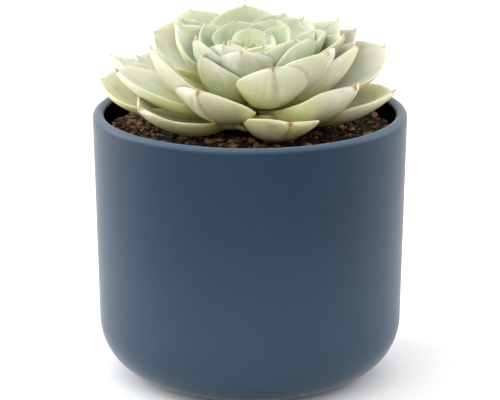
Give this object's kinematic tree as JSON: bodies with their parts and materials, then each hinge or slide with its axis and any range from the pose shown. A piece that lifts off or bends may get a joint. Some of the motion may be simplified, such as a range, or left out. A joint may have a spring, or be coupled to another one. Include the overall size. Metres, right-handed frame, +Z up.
{
  "type": "potted succulent",
  "caption": "Rosette succulent with thick pale green pointed leaves, planted in soil in a round matte blue ceramic pot with rounded foot corners.",
  "frame": {"origin": "centre of the pot's flat foot, on the surface it stands on", "axes": "+Z up along the pot's axis; the side first seen faces -Y, +X to its right"},
  "size_m": [0.12, 0.12, 0.1383],
  "materials": {
    "pot": "matte blue ceramic with a soft sheen",
    "soil": "rough dark potting mix with bark crumbs",
    "stem": "pale green-brown living stem",
    "leaf_outer": "waxy pale yellow-green",
    "leaf_middle": "waxy pale grey-green",
    "leaf_inner": "waxy pale green",
    "leaf_heart": "waxy bright lime green"
  },
  "bodies": {
    "root": {"pot": "pot", "soil": "soil", "stem": "stem", "basal_leaf_1": "leaf_outer", "basal_leaf_2": "leaf_outer", "basal_leaf_3": "leaf_outer", "outer_leaf_1": "leaf_outer", "outer_leaf_2": "leaf_outer", "outer_leaf_3": "leaf_outer", "outer_leaf_4": "leaf_outer", "outer_leaf_5": "leaf_outer", "outer_leaf_6": "leaf_outer", "outer_leaf_7": "leaf_outer", "outer_leaf_8": "leaf_outer", "lower_leaf_1": "leaf_outer", "lower_leaf_2": "leaf_outer", "lower_leaf_3": "leaf_outer", "lower_leaf_4": "leaf_outer", "lower_leaf_5": "leaf_outer", "lower_leaf_6": "leaf_outer", "lower_leaf_7": "leaf_outer", "lower_leaf_8": "leaf_outer", "middle_leaf_1": "leaf_middle", "middle_leaf_2": "leaf_middle", "middle_leaf_3": "leaf_middle", "middle_leaf_4": "leaf_middle", "middle_leaf_5": "leaf_middle", "middle_leaf_6": "leaf_middle", "middle_leaf_7": "leaf_middle", "middle_leaf_8": "leaf_middle", "upper_leaf_1": "leaf_middle", "upper_leaf_2": "leaf_middle", "upper_leaf_3": "leaf_middle", "upper_leaf_4": "leaf_middle", "upper_leaf_5": "leaf_middle", "upper_leaf_6": "leaf_middle", "upper_leaf_7": "leaf_middle", "upper_leaf_8": "leaf_middle", "inner_leaf_1": "leaf_inner", "inner_leaf_2": "leaf_inner", "inner_leaf_3": "leaf_inner", "inner_leaf_4": "leaf_inner", "inner_leaf_5": "leaf_inner", "inner_leaf_6": "leaf_inner", "crown_leaf_1": "leaf_inner", "crown_leaf_2": "leaf_inner", "crown_leaf_3": "leaf_inner", "crown_leaf_4": "leaf_inner", "crown_leaf_5": "leaf_inner", "crown_leaf_6": "leaf_inner", "heart_leaf_1": "leaf_heart", "heart_leaf_2": "leaf_heart", "heart_leaf_3": "leaf_heart", "heart_leaf_4": "leaf_heart", "heart_leaf_5": "leaf_heart", "heart_leaf_6": "leaf_heart", "heart_leaf_7": "leaf_heart", "heart_leaf_8": "leaf_heart", "heart_leaf_9": "leaf_heart", "heart_leaf_10": "leaf_heart"}
  },
  "joints": []
}
